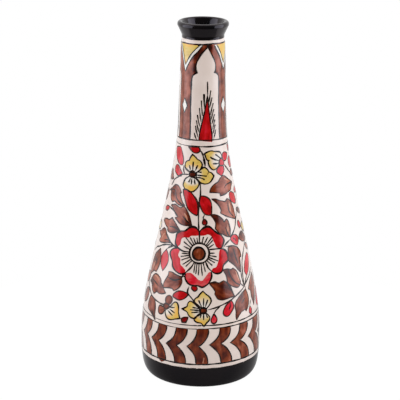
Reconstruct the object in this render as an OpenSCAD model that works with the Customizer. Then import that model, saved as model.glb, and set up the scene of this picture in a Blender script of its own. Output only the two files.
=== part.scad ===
// Tall bottle vase in glazed ceramic.
// Five clay sections are turned apart and luted end to end with slip in stepped lap joints.
// Four coats of glaze cover the clay: ivory on the painted wall, black on the foot and
// on the lip, and a clear lining that keeps the water in.
// Millimetres, +Z up, with the origin at the centre of the foot on the table.

/* [Outside form] */
// Height from the table to the crown of the lip
vase_h = 330; // [326:1:336]
// Widest diameter, at the belly
belly_d = 110; // [106:0.5:114]
// Height of the widest place above the table
belly_z = 40; // [38:0.5:44]
// Outer diameter of the ring that stands on the table
foot_d = 92; // [88:1:96]
// Outside diameter where the long curve of the body runs out into the neck
neck_d = 43.3; // [42.5:0.1:44.5]
// Height where the body's curve runs out into the neck
neck_z = 240; // [236:1:244]
// How much the neck narrows in radius for each millimetre of height
neck_taper = 0.03; // [0.025:0.001:0.035]
// Outside diameter of the waist under the lip
waist_d = 37.7; // [37.4:0.1:38.4]
// Outside diameter of the lip
lip_d = 45.8; // [45:0.1:48]

/* [Walls] */
// Wall through clay and both glazes
wall_t = 5.3; // [4.8:0.1:5.8]
// Floor through clay and lining, over the recess in the foot
floor_t = 6; // [5:0.5:8]
// Height of the recess inside the foot ring
recess_h = 2; // [1:0.5:3]
// Width of the ring that stands on the table
foot_ring_w = 7; // [5:0.5:9]
// Inside diameter of the straight throat
throat_d = 27.6; // [27:0.1:28.4]
// Thickness of every coat of glaze
glaze_t = 0.4; // [0.3:0.05:0.5]

/* [Joints] */
// Height of the tongue in each lap joint
lap_h = 5; // [4:0.5:6]
// Thickness of the slip in each lap joint
slip_t = 0.5; // [0.3:0.1:0.8]
// Height of the joint between base and drum
base_joint_z = 15; // [14:0.5:17]
// Height of the joint between drum and cone, under the lower pair of painted rings
drum_joint_z = 58; // [54:1:64]
// Height of the joint between cone and neck, under the upper pair of painted rings
neck_joint_z = 218; // [210:1:226]
// Depth of the joint between neck and collar below the crown of the lip
collar_joint_drop = 20; // [18.5:0.5:22]

/* [Glaze bands] */
// Height of the top edge of the black foot
foot_band_z = 21.1; // [18:0.1:24]
// Height where the foot's glaze was wiped away
wiped_z = 1; // [0.6:0.1:1.5]
// Depth of the black lip on the outside, below the crown
lip_band_drop = 14.5; // [13.5:0.1:15.5]
// Depth of the black lip on the inside, below the crown
lip_inside_drop = 30; // [28:1:32]

/* [Hidden] */

CLAY = "BurlyWood";
SLIP = "Wheat";
IVORY = "Linen";
BLACK = [0.06, 0.06, 0.07];
TURN_STEPS = 128;
CURVE_STEPS = 22;
ARC_STEPS = 8;
SMALL = 0.01;

belly_r = belly_d / 2;
foot_r = foot_d / 2;
neck_r = neck_d / 2;
waist_r = waist_d / 2;
lip_r = lip_d / 2;
throat_r = throat_d / 2;

// The flared lip ends in a round edge, as thick as twice its radius
lip_round = 2.5;
lip_centre = [lip_r - lip_round, vase_h - lip_round];
lip_band_z = vase_h - lip_band_drop;
lip_inside_z = vase_h - lip_inside_drop;
collar_joint_z = vase_h - collar_joint_drop;
waist_z = lip_band_z - 1;
neck_top_z = waist_z - 4;
neck_top_r = neck_r - neck_taper * (neck_top_z - neck_z);

// Straight flare outside between the waist and the lip, and its direction
flare_foot = [waist_r + 0.7, waist_z + 4.9];
flare_head = [lip_r - 0.6, lip_centre[1] - 2.3];
flare_way = (flare_head - flare_foot) / norm(flare_head - flare_foot);

// Where the trumpet of the mouth runs into the lip's round, leaning out by an angle
mouth_lean = 30;
mouth_top = lip_centre + lip_round * [-cos(mouth_lean), sin(mouth_lean)];

// Straight part of the throat, from the lower edge of the black lip up to the flare of the mouth
throat_top_z = vase_h - 15;
floor_z = recess_h + floor_t;
floor_r = foot_r - 4;

// How far each end of a long curve keeps its own direction
FOOT_REACH = 10.5;
BELLY_DROP = 14;
BELLY_RISE = 51;
NECK_DROP = 60;
WAIST_RISE = 3.5;
FLARE_REACH = 1.5;
LIP_DROP = 1.2;
THROAT_RISE = 5;
MOUTH_DROP = 4;

function bezier(p, t) =
    pow(1 - t, 3) * p[0] + 3 * t * pow(1 - t, 2) * p[1] + 3 * t * t * (1 - t) * p[2] + pow(t, 3) * p[3];
function curve(p, steps) = [for (i = [0:steps]) bezier(p, i / steps)];
function arc(centre, r, from, to) =
    [for (i = [0:ARC_STEPS]) let (a = from + (to - from) * i / ARC_STEPS) centre + r * [cos(a), sin(a)]];
function tail(path) = [for (i = [1:len(path) - 1]) path[i]];
function reversed(path) = [for (i = [len(path) - 1:-1:0]) path[i]];

// Unit direction of a path at a point, from its two neighbours
function heading(path, i) =
    let (step = path[min(i + 1, len(path) - 1)] - path[max(i - 1, 0)]) step / norm(step);
// The same path moved to its left by a distance
function inset(path, distance) =
    [for (i = [0:len(path) - 1]) let (u = heading(path, i)) path[i] + distance * [-u[1], u[0]]];

// Radius of a rising path at a height, and the stretch of the path between two heights
function radius_at(path, z) = lookup(z, [for (p = path) [p[1], p[0]]]);
function between(path, low, high) = concat(
    [[radius_at(path, low), low]],
    [for (p = path) if (p[1] > low + SMALL && p[1] < high - SMALL) p],
    [[radius_at(path, high), high]]
);

// Long S-curve of the body from the belly to the neck, moved in by a radial distance
function body_curve(in) = curve([
    [belly_r - in, belly_z],
    [belly_r - in, belly_z + BELLY_RISE],
    [neck_r - in + neck_taper * NECK_DROP, neck_z - NECK_DROP],
    [neck_r - in, neck_z]
], CURVE_STEPS);

// Outside of the glazed vase, from the foot ring up to the crown of the lip
outside = concat(
    curve([[foot_r, 0], [foot_r + FOOT_REACH, 0], [belly_r, belly_z - BELLY_DROP], [belly_r, belly_z]], CURVE_STEPS),
    tail(body_curve(0)),
    [[neck_top_r, neck_top_z]],
    curve([
        [waist_r, waist_z],
        [waist_r, waist_z + WAIST_RISE],
        flare_foot - FLARE_REACH * flare_way,
        flare_foot
    ], ARC_STEPS),
    curve([
        flare_head,
        flare_head + FLARE_REACH * flare_way,
        [lip_r, lip_centre[1] - LIP_DROP],
        [lip_r, lip_centre[1]]
    ], ARC_STEPS),
    tail(arc(lip_centre, lip_round, 0, 90))
);

// Inside of the glazed vase, from the middle of the floor up to the crown of the lip
inside = concat(
    [[0, floor_z]],
    curve([
        [floor_r, floor_z],
        [floor_r + FOOT_REACH - 4, floor_z],
        [belly_r - wall_t, belly_z - BELLY_DROP],
        [belly_r - wall_t, belly_z]
    ], ARC_STEPS),
    tail(body_curve(wall_t)),
    [[throat_r, lip_inside_z], [throat_r, throat_top_z]],
    tail(curve([
        [throat_r, throat_top_z],
        [throat_r, throat_top_z + THROAT_RISE],
        mouth_top - MOUTH_DROP * [sin(mouth_lean), cos(mouth_lean)],
        mouth_top
    ], ARC_STEPS)),
    tail(arc(lip_centre, lip_round, 180 - mouth_lean, 90))
);

// The clay lies one coat of glaze under that skin, all the way round over the lip
skin = concat(outside, tail(reversed(inside)));
core = inset(skin, glaze_t);
clay_out = [for (i = [0:len(outside) - 1]) core[i]];
clay_in = reversed([for (i = [len(outside) - 1:len(core) - 1]) core[i]]);
crown_z = vase_h - glaze_t;

// Middle of the clay wall, where a tongue meets its socket
function lap_r(z) = (radius_at(clay_out, z) + radius_at(clay_in, z)) / 2;
// Top edge of a lower section, from the outside in: a shoulder, then the tongue
function tongue(z) = [[lap_r(z), z], [lap_r(z), z + lap_h]];
// Bottom edge of an upper section, from the inside out: the socket, then its skirt
function socket(z) = [[lap_r(z) + slip_t, z + lap_h + slip_t], [lap_r(z) + slip_t, z + slip_t]];

module turned(points) rotate_extrude($fn = TURN_STEPS) polygon(points);

// Ring of clay between two lap joints
module clay_ring(low, high) color(CLAY) turned(concat(
    between(clay_out, low + slip_t, high),
    tongue(high),
    reversed(between(clay_in, low + lap_h + slip_t, high + lap_h)),
    socket(low)
));

// Film of slip that fills one lap joint
module slip_film(z) color(SLIP) turned(concat(
    between(clay_out, z, z + slip_t),
    reversed(socket(z)),
    reversed(between(clay_in, z + lap_h, z + lap_h + slip_t)),
    reversed(tongue(z))
));

// Floor and rounded foot, standing on a bare ring around a shallow recess
module base() color(CLAY) turned(concat(
    [[0, recess_h], [foot_r - foot_ring_w - recess_h, recess_h], [foot_r - foot_ring_w, 0], [foot_r, 0]],
    tail(between(clay_out, glaze_t, base_joint_z)),
    tongue(base_joint_z),
    reversed([for (p = between(clay_in, floor_z - glaze_t, base_joint_z + lap_h)) if (p[1] > floor_z) p]),
    [[floor_r, floor_z - glaze_t], [0, floor_z - glaze_t]]
));

module drum() clay_ring(base_joint_z, drum_joint_z);
module cone() clay_ring(drum_joint_z, neck_joint_z);
module neck() clay_ring(neck_joint_z, collar_joint_z);

// Waist, flare and rounded lip over the last joint
module collar() color(CLAY) turned(concat(
    between(clay_out, collar_joint_z + slip_t, crown_z),
    tail(reversed(between(clay_in, collar_joint_z + lap_h + slip_t, crown_z))),
    socket(collar_joint_z)
));

// Coat of glaze on the outside between two heights
module outer_coat(low, high) turned(concat(between(outside, low, high), reversed(between(clay_out, low, high))));

module foot_glaze() color(BLACK) outer_coat(wiped_z, foot_band_z);
module wall_glaze() color(IVORY) outer_coat(foot_band_z, lip_band_z);

// Black glaze on the collar, over the lip and down the throat
module lip_glaze() color(BLACK) turned(concat(
    between(outside, lip_band_z, vase_h),
    tail(reversed(between(inside, lip_inside_z, vase_h))),
    between(clay_in, lip_inside_z, crown_z),
    tail(reversed(between(clay_out, lip_band_z, crown_z)))
));

// Watertight lining of the floor and the inside wall, up to the black throat
module lining_glaze() color(IVORY) turned(concat(
    [[0, floor_z - glaze_t], [floor_r, floor_z - glaze_t]],
    [for (p = between(clay_in, floor_z - glaze_t, lip_inside_z)) if (p[1] > floor_z) p],
    reversed([for (p = between(inside, floor_z, lip_inside_z)) if (p[1] > floor_z + SMALL) p]),
    [[floor_r, floor_z], [0, floor_z]]
));

base();
drum();
cone();
neck();
collar();
slip_film(base_joint_z);  // base_joint_slip
slip_film(drum_joint_z);  // drum_joint_slip
slip_film(neck_joint_z);  // neck_joint_slip
slip_film(collar_joint_z);  // collar_joint_slip
lining_glaze();
wall_glaze();
foot_glaze();
lip_glaze();
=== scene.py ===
# %% [markdown]
# # A hand-painted bottle vase
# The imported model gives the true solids: five rings of clay, the slip that lutes them together and
# four coats of glaze. This lesson keeps those solids, lays smooth glaze over the three coats that
# show, and paints the wall the way a decorator does: flat washes of colour first, black line last.

# %% Load the vase
from math import radians

import bmesh
import bpy
import numpy as np
from mathutils import Matrix, Vector


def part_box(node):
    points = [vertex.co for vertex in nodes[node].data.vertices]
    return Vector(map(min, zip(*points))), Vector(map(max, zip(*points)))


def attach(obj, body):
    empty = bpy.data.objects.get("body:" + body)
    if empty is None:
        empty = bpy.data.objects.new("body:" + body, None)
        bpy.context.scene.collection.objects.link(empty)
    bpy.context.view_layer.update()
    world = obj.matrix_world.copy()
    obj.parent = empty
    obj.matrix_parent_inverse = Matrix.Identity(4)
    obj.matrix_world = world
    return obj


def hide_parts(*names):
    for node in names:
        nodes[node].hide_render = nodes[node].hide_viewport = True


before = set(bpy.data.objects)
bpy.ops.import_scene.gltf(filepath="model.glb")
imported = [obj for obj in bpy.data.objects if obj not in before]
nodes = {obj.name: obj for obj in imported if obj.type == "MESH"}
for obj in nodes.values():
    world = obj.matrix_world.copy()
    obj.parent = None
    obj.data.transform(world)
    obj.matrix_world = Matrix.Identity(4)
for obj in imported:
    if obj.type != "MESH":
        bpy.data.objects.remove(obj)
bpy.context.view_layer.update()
print("clay, slip and glaze:", ", ".join(sorted(nodes)))

# %% [markdown]
# ## The turned form
# A potter sees a vase as one curve spun round an axis. Four heights and six radii fix it: a rounded
# foot, a belly low down, one long S-curve into the neck, a waist and a flared lip. The outer sizes
# are read from the solids, so the glaze always fits them. A curve object could be drawn by hand, but
# a curve worked out as numbers can tell its radius at any height, which the painting needs. All
# sizes here are millimetres.

# %% Sizes of the form
MM = 0.001


def span(node):
    """Lowest and highest corner of a solid, in millimetres."""
    low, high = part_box(node)
    return np.array(low) / MM, np.array(high) / MM


vase_h = span("lip_glaze")[1][2]
lip_r = span("lip_glaze")[1][0]
belly_r = span("wall_glaze")[1][0]
wiped_z, foot_band_z = span("foot_glaze")[0][2], span("foot_glaze")[1][2]
lip_inside_z, lip_band_z = span("lip_glaze")[0][2], span("wall_glaze")[1][2]

foot_r = 46.0
belly_z = 40.0
neck_r, neck_z, neck_taper = 21.65, 240.0, 0.03
waist_r, waist_z = 18.85, lip_band_z - 1.0
neck_top_z = waist_z - 4
neck_top_r = neck_r - neck_taper * (neck_top_z - neck_z)
throat_r, throat_top_z = 13.8, vase_h - 15.0
lip_round, mouth_lean = 2.5, 30
lip_middle = np.array([lip_r - lip_round, vase_h - lip_round])
glaze_t = 0.4
print(f"height {vase_h:.1f}, belly radius {belly_r:.1f}, lip radius {lip_r:.2f}")

# %% The profile
# Where the straight flare starts, out and up from the waist, and where it ends, in and down from the lip
FLARE_START, FLARE_END = (0.7, 4.9), (0.6, 2.3)
# How far the painted wall's own path runs on above its edge
OVERRUN = 6


def bezier(start, start_pull, end_pull, end, steps):
    """Cubic curve from start to end, pulled along a vector at each. Its four points are the start, the
    start plus its pull, the end plus its pull and the end, weighted by the Bernstein polynomials in t."""
    t = np.linspace(0.0, 1.0, steps)[:, None]
    a, d = np.array(start, float), np.array(end, float)
    b, c = a + start_pull, d + end_pull
    return (1 - t) ** 3 * a + 3 * t * (1 - t) ** 2 * b + 3 * t**2 * (1 - t) * c + t**3 * d


def arc(middle, r, start, stop, steps):
    """Circle arc: middle plus r times the cosine and sine of an angle that runs from start to stop."""
    turn = np.radians(np.linspace(start, stop, steps))
    return middle + r * np.stack([np.cos(turn), np.sin(turn)], 1)


foot, belly, neck_foot = (foot_r, 0), (belly_r, belly_z), (neck_r, neck_z)
neck_top, waist, lip_side = (neck_top_r, neck_top_z), (waist_r, waist_z), (lip_r, lip_middle[1])
flare_foot, flare_head = np.add(waist, FLARE_START), np.subtract(lip_side, FLARE_END)
flare_way = (flare_head - flare_foot) / np.linalg.norm(flare_head - flare_foot)
outside = np.concatenate([
    bezier(foot, (10.5, 0), (0, -14), belly, steps=60)[:-1],
    bezier(belly, (0, 51), (60 * neck_taper, -60), neck_foot, steps=160)[:-1],
    bezier(neck_foot, (-0.75, 25), (0.4, -14), neck_top, steps=40)[:-1],
    bezier(neck_top, (-0.2, 1.2), (0, -1.6), waist, steps=8)[:-1],
    bezier(waist, (0, 3.5), -1.5 * flare_way, flare_foot, steps=16),
    np.linspace(flare_foot, flare_head, 8)[1:-1],
    bezier(flare_head, 1.5 * flare_way, (0, -1.2), lip_side, steps=10)[:-1],
    arc(lip_middle, lip_round, 0, 90, steps=12),
])
mouth_way = np.array([np.sin(radians(mouth_lean)), np.cos(radians(mouth_lean))])
mouth_top = lip_middle + lip_round * np.array([-mouth_way[1], mouth_way[0]])
throat_top = (throat_r, throat_top_z)
throat = np.concatenate([
    [(throat_r, lip_inside_z), throat_top],
    bezier(throat_top, (0, 5), -4 * mouth_way, mouth_top, steps=16)[1:],
    arc(lip_middle, lip_round, 180 - mouth_lean, 90, steps=12)[1:],
])
wall_path = outside[outside[:, 1] < lip_band_z + OVERRUN]
wall_slope = np.gradient(wall_path[:, 0], wall_path[:, 1])
print("profile points:", len(outside), "outside,", len(throat), "in the throat")

# %% [markdown]
# ## Coats of glaze
# Glaze is a skin of glass about 0.4 mm thick. Each coat is a closed outline in the half plane of
# radius and height, carried round the axis. A Screw modifier could carry it round too, but a wheel
# leaves slow ripples in the wall. So the whole grid is worked out at once, and its radius gets a few
# hundredths of a millimetre of soft waves, enough to bend the reflections a little.

# %% Turning a closed outline into a coat
TURN_STEPS = 210
# Edges bent by more degrees stay crisp, and points nearer than this, in metres, are merged
CRISP_ANGLE, MERGE_REACH = 35, 1e-7
# Depth of each wave in millimetres, its length up the wall, and how often it goes round
RIPPLES = [(0.02, 7.0, 1), (0.015, 17.0, -2), (0.012, 29.0, 3)]


def ripple(angle, z):
    """Sum of slow sine waves: depth times the sine of height / length + turns times angle."""
    a = np.radians(angle)
    return sum(depth * np.sin(z / length + turns * a) for depth, length, turns in RIPPLES)


def on_axis(angle, r, z):
    """Angle 0 faces the viewer on -Y and grows towards +X: x = r sin(angle), y = -r cos(angle)."""
    a = np.radians(angle)
    return np.stack([r * np.sin(a), -r * np.cos(a), z], -1)


def faces_of_grid(rows, columns, ring_rows, ring_columns):
    """One quad for each grid cell, with the last row or column joined to the first where it is a ring."""
    i = np.arange(rows if ring_rows else rows - 1)[:, None]
    j = np.arange(columns if ring_columns else columns - 1)[None, :]
    i_next, j_next = (i + 1) % rows, (j + 1) % columns
    corners = (i * columns + j, i * columns + j_next, i_next * columns + j_next, i_next * columns + j)
    return np.stack(corners, -1).reshape(-1, 4)


def make_piece(name, points, quads, material, brush=None, wash=None):
    """Mesh from arrays in millimetres: doubles merged, normals outwards, and corners kept crisp."""
    mesh = bpy.data.meshes.new(name)
    mesh.from_pydata((points * MM).tolist(), [], quads.tolist())
    if brush is not None:
        mesh.attributes.new("brush", "FLOAT_VECTOR", "POINT").data.foreach_set("vector", brush.ravel())
    if wash is not None:
        mesh.attributes.new("wash", "FLOAT", "POINT").data.foreach_set("value", wash.ravel())
    work = bmesh.new()
    work.from_mesh(mesh)
    bmesh.ops.remove_doubles(work, verts=work.verts, dist=MERGE_REACH)
    bmesh.ops.recalc_face_normals(work, faces=work.faces)
    work.to_mesh(mesh)
    work.free()
    mesh.shade_smooth()
    mesh.set_sharp_from_angle(angle=radians(CRISP_ANGLE))
    mesh.materials.append(material)
    piece = bpy.data.objects.new(name, mesh)
    bpy.context.scene.collection.objects.link(piece)
    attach(piece, "root")
    print(f"{name}: {len(mesh.polygons)} faces")
    return piece


def turned_coat(name, outline, material):
    """Surface of revolution: the closed outline (r, z) at each of TURN_STEPS angles, plus the ripple."""
    angle = np.arange(TURN_STEPS)[:, None] * 360.0 / TURN_STEPS
    r, z = outline[None, :, 0], outline[None, :, 1]
    points = on_axis(angle, r + ripple(angle, z), z + 0 * angle)
    quads = faces_of_grid(TURN_STEPS, len(outline), ring_rows=True, ring_columns=True)
    return make_piece(name, points.reshape(-1, 3), quads, material)


# %% [markdown]
# ## Finishes
# Everything here is under or in a glossy glaze, so the finishes share one shader with a low
# roughness and differ in colour. Paint laid on by brush is never even: a noise stretched along the
# stroke gives streaks where the brush ran dry, and a slower one gives pools where it was full. A
# picture of streaks could be wrapped on instead, but the noise follows each stroke by itself.

# %% Helpers for finishes
# Most of a noise lies between these values
NOISE_LOW, NOISE_HIGH = 0.3, 0.7


def new_finish(name, roughness):
    """A material with one Principled shader; returns the material, its node tree and the shader."""
    material = bpy.data.materials.new(name)
    material.use_nodes = True
    shader = material.node_tree.nodes["Principled BSDF"]
    shader.inputs["Roughness"].default_value = roughness
    return material, material.node_tree, shader


def feed(tree, source, socket):
    """Links a source socket into a socket, or sets a fixed value on it."""
    if isinstance(source, bpy.types.NodeSocket):
        tree.links.new(source, socket)
    else:
        socket.default_value = source


def add(tree, kind, links=(), **values):
    """One node: values go on its properties, links are (socket name, source socket or fixed value)."""
    node = tree.nodes.new(kind)
    for key, value in values.items():
        setattr(node, key, value)
    for socket, source in links:
        feed(tree, source, node.inputs[socket])
    return node


def maths(tree, operation, *terms):
    """One step of arithmetic; each term is a socket or a number."""
    return add(tree, "ShaderNodeMath", enumerate(terms), operation=operation).outputs[0]


def rescale(tree, value, from_low, from_high, to_low, to_high):
    """A value carried over from one range to another, and held at its ends."""
    limits = zip(("From Min", "From Max", "To Min", "To Max"), (from_low, from_high, to_low, to_high))
    return add(tree, "ShaderNodeMapRange", [("Value", value), *limits]).outputs["Result"]


def ramp(tree, source, stops):
    """Colour ramp over a value: stops are (place, (red, green, blue)) from low to high."""
    node = add(tree, "ShaderNodeValToRGB", [("Fac", source)])
    elements = node.color_ramp.elements
    while len(elements) < len(stops):
        elements.new(0.5)
    for element, (place, colour) in zip(elements, stops):
        element.position = place
        element.color = (*colour, 1.0)
    return node.outputs["Color"]


def mix_colours(tree, blend, first, second, share):
    """Mix of two colours, each a socket or a fixed colour; the share is a socket or a number."""
    node = add(tree, "ShaderNodeMix", data_type="RGBA", blend_type=blend)
    sockets = {socket.identifier: socket for socket in node.inputs}
    for key, source in (("Factor_Float", share), ("A_Color", first), ("B_Color", second)):
        feed(tree, source, sockets[key])
    return next(socket for socket in node.outputs if socket.identifier == "Result_Color")


def parts_of(tree, vector):
    """The X, Y and Z of a vector."""
    return add(tree, "ShaderNodeSeparateXYZ", [("Vector", vector)]).outputs


def place_on(tree):
    """The object's own coordinates, in metres."""
    return add(tree, "ShaderNodeTexCoord").outputs["Object"]


def noise(tree, vector, scale, detail):
    """Noise over a vector; scale is in cells for each unit."""
    links = [("Vector", vector), ("Scale", scale), ("Detail", detail)]
    return add(tree, "ShaderNodeTexNoise", links).outputs["Fac"]


def object_noise(tree, scale, detail=3.0):
    """Noise over the object's own coordinates; scale is in cells for each metre."""
    return noise(tree, place_on(tree), scale, detail)


def stored(tree, attribute, output):
    """A value that the film's mesh carries: the brush coordinates or the wash."""
    return add(tree, "ShaderNodeAttribute", attribute_name=attribute).outputs[output]


def soft_bump(tree, shader, height, strength, distance):
    """Bump on the shader's normal from a height value."""
    bump = add(tree, "ShaderNodeBump", [("Height", height), ("Strength", strength), ("Distance", distance)])
    tree.links.new(bump.outputs["Normal"], shader.inputs["Normal"])


def varied_gloss(tree, shader, low, high, scale):
    """Roughness that wanders between two values over the surface."""
    roughness = rescale(tree, object_noise(tree, scale), NOISE_LOW, NOISE_HIGH, low, high)
    tree.links.new(roughness, shader.inputs["Roughness"])


# %% Ivory ground and black glaze
GLAZE_IOR = 1.5


def make_ivory_glaze():
    """Warm ivory with faint clouds and a few specks of iron that came through in the kiln."""
    material, tree, shader = new_finish("ivory_glaze", roughness=0.14)
    cloud_stops = [(0.35, (0.755, 0.628, 0.56)), (0.7, (0.795, 0.672, 0.608))]
    speck_stops = [(0.76, (1, 1, 1)), (0.82, (0.62, 0.5, 0.4))]
    clouds = ramp(tree, object_noise(tree, scale=55.0), cloud_stops)
    specks = ramp(tree, object_noise(tree, scale=900.0, detail=1.0), speck_stops)
    tree.links.new(mix_colours(tree, "MULTIPLY", clouds, specks, share=0.6), shader.inputs["Base Color"])
    shader.inputs["IOR"].default_value = GLAZE_IOR
    varied_gloss(tree, shader, low=0.12, high=0.20, scale=90.0)
    soft_bump(tree, shader, object_noise(tree, scale=160.0, detail=2.0), strength=0.12, distance=0.0002)
    return material


def make_black_glaze():
    """Black glaze, a shade browner in thin clouds, with a fine orange-peel surface."""
    material, tree, shader = new_finish("black_glaze", roughness=0.12)
    cloud_stops = [(0.35, (0.0025, 0.0025, 0.003)), (0.75, (0.005, 0.004, 0.004))]
    tree.links.new(ramp(tree, object_noise(tree, scale=70.0), cloud_stops), shader.inputs["Base Color"])
    shader.inputs["IOR"].default_value = GLAZE_IOR
    shader.inputs["Specular Tint"].default_value = (1.0, 0.85, 0.9, 1.0)
    varied_gloss(tree, shader, low=0.09, high=0.15, scale=120.0)
    soft_bump(tree, shader, object_noise(tree, scale=420.0, detail=2.0), strength=0.08, distance=0.0001)
    return material


ivory_glaze = make_ivory_glaze()
black_glaze = make_black_glaze()

# %% Colours laid on by brush
# Step between two tones in the noise, so far apart that no two motifs share their streaks
TONE_STEP = 40.0
# The sum of streaks and pools is multiplied by the gain, and the base is added
STREAK_GAIN, STREAK_BASE = 0.65, -0.15
# The wash of a film whose paint is even
EVEN_WASH = 0.5


def make_paint(name, stops, along=1.0, across=2.0, tone_share=0.1, roughness=0.13, wash_share=0.0,
               ground=None):
    """Paint under glaze: a ramp over streaks and pools, shifted by the motif's own tone, and by the
    wash, which is 0 where the brush was fullest. With a ground, the wash thins the paint out to it."""
    material, tree, shader = new_finish(name, roughness)
    brush = stored(tree, "brush", "Vector")
    scales = (along, across, TONE_STEP)
    stretched = add(tree, "ShaderNodeVectorMath", [(0, brush), (1, scales)], operation="MULTIPLY")
    streaks = noise(tree, stretched.outputs[0], scale=1.0, detail=3.0)
    pools = object_noise(tree, scale=130.0, detail=2.0)
    uneven = maths(tree, "MULTIPLY_ADD", maths(tree, "ADD", streaks, pools), STREAK_GAIN, STREAK_BASE)
    shift = maths(tree, "MULTIPLY_ADD", parts_of(tree, brush)["Z"], tone_share, uneven)
    if wash_share:
        full = maths(tree, "SUBTRACT", stored(tree, "wash", "Fac"), EVEN_WASH)
        shift = maths(tree, "MULTIPLY_ADD", full, wash_share, shift)
    colour = ramp(tree, shift, stops)
    if ground:
        colour = mix_colours(tree, "MIX", (*ground, 1.0), colour, share=stored(tree, "wash", "Fac"))
    tree.links.new(colour, shader.inputs["Base Color"])
    shader.inputs["IOR"].default_value = GLAZE_IOR
    soft_bump(tree, shader, streaks, strength=0.06, distance=0.0001)
    return material


crimson = make_paint(
    "crimson_paint",
    [(0.35, (0.16, 0.004, 0.004)), (0.5, (0.38, 0.003, 0.004)), (0.65, (0.52, 0.006, 0.008)),
     (0.85, (0.66, 0.016, 0.034)), (0.97, (0.62, 0.085, 0.085))],
    along=0.8, across=3.0, tone_share=0.3, roughness=0.15,
)
umber = make_paint(
    "umber_wash",
    [(0.3, (0.022, 0.004, 0.002)), (0.5, (0.088, 0.011, 0.004)), (0.66, (0.20, 0.035, 0.009)),
     (0.88, (0.41, 0.118, 0.068))],
    along=0.6, across=2.4, tone_share=0.4, roughness=0.15, wash_share=0.3,
)
tan = make_paint("tan_wash", [(0.3, (0.40, 0.15, 0.085)), (0.7, (0.56, 0.26, 0.16))], roughness=0.15)
line_black = make_paint("line_black", [(0.3, (0.005, 0.003, 0.0025)), (0.7, (0.015, 0.009, 0.007))])
line_brown = make_paint("line_brown", [(0.3, (0.016, 0.006, 0.004)), (0.7, (0.045, 0.018, 0.013))])
white_slip = make_paint("white_reserve", [(0.35, (0.74, 0.69, 0.63)), (0.7, (0.82, 0.77, 0.71))])
mustard = make_paint(
    "mustard_wash", [(0.34, (0.58, 0.34, 0.05)), (0.52, (0.70, 0.50, 0.13)), (0.7, (0.80, 0.44, 0.08))],
    along=0.9, across=3.0, tone_share=0.15, ground=(0.78, 0.70, 0.63),
)
print("finishes:", ", ".join(material.name for material in bpy.data.materials))

# %% The three coats that show
# Points of the profile nearer than this to a coat's edge are left out
EDGE_GAP = 0.05


def radius(z):
    """Radius of the wall at a height, read off the profile."""
    return np.interp(z, wall_path[:, 1], wall_path[:, 0])


def coat_outline(path):
    """A coat's closed outline: its skin, then the same line one glaze thickness further in, backwards."""
    way = np.gradient(path, axis=0)
    way /= np.linalg.norm(way, axis=1)[:, None]
    inner = path + glaze_t * np.stack([-way[:, 1], way[:, 0]], 1)
    return np.concatenate([path, inner[::-1]])


def stretch(low, high):
    """The profile between two heights, with its ends worked out at those heights."""
    inside = outside[(outside[:, 1] > low + EDGE_GAP) & (outside[:, 1] < high - EDGE_GAP)]
    return np.concatenate([[(radius(low), low)], inside, [(radius(high), high)]])


above_band = outside[outside[:, 1] > lip_band_z + EDGE_GAP]
lip_path = np.concatenate([[(radius(lip_band_z), lip_band_z)], above_band, throat[::-1][1:]])
for name, path, slot, finish in (
    ("wall_coat", stretch(foot_band_z, lip_band_z), "ivory_glaze", ivory_glaze),
    ("foot_coat", stretch(wiped_z, foot_band_z), "black_glaze", black_glaze),
    ("lip_coat", lip_path, "black_glaze", black_glaze),
):
    coat = turned_coat(name, coat_outline(path), finish)
    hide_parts(name.replace("coat", "glaze"))

# %% [markdown]
# ## Brush and wall
# A decorator thinks in two numbers: how far round the vase and how high. Every motif below is a
# short list of such points, degrees round from the front and millimetres up, joined by smooth
# curves. `tip` marks a point where the brush was lifted and the line turns sharply. The pattern
# could be one picture wrapped round the wall, but a picture blurs when the camera comes near. So a
# painted shape is a very thin closed film: its face stands about a tenth of a millimetre off the
# wall at most, and its back lies inside the glaze.

# %% Smooth lines through given points
# Steps from one point to the next, and the least length that is divided by
CURVE_STEPS, TINY = 7, 1e-6


def tip(angle, z):
    """A point where the line has a corner."""
    return (angle, z, True)


def smooth(points, closed=True, steps=CURVE_STEPS):
    """Hermite curve through the points: each leaves along the line between its neighbours, a corner
    along its own sides, with a tangent as long as the next chord."""
    p = np.array([q[:2] for q in points], float)
    corner = np.array([len(q) > 2 for q in points])[:, None]
    after, before = np.roll(p, -1, 0), np.roll(p, 1, 0)
    if not closed:
        after[-1], before[0] = 2 * p[-1] - p[-2], 2 * p[0] - p[1]
    ahead, behind = after - p, p - before
    way = ahead + behind
    way = way / np.maximum(np.linalg.norm(way, axis=1), TINY)[:, None]
    leave = np.where(corner, ahead, way * np.linalg.norm(ahead, axis=1)[:, None])
    arrive = np.where(corner, behind, way * np.linalg.norm(behind, axis=1)[:, None])
    first = np.arange(len(p) if closed else len(p) - 1)
    last = (first + 1) % len(p)
    t = (np.arange(steps) / steps)[None, :, None]
    path = (
        (2 * t**3 - 3 * t**2 + 1) * p[first, None] + (t**3 - 2 * t**2 + t) * leave[first, None]
        + (3 * t**2 - 2 * t**3) * p[last, None] + (t**3 - t**2) * arrive[last, None]
    ).reshape(-1, 2)
    return path if closed else np.concatenate([path, p[-1:]])


# %% Films on the wall
# How far a film's back is sunk, and how high the face of a wash, of one over another, and of a line is
SINK = -0.15
FILL_LIFT, OVER_LIFT, LINE_LIFT = 0.05, 0.08, 0.11
# How much higher a film lies that crosses another one of its kind
CROSSING = 0.015
palette = {}


def slope_at(z):
    """Slope of the wall at a height: radius gained for each millimetre up."""
    return np.interp(z, wall_path[:, 1], wall_slope)


def on_wall(angle, z, lift):
    """The wall's point at an angle and height, moved along its normal (1, -slope) by a lift."""
    slope = slope_at(z)
    lean = (lift + ripple(angle, z)) / np.sqrt(1 + slope**2)
    return on_axis(angle, radius(z) + lean, z - lean * slope)


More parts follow.
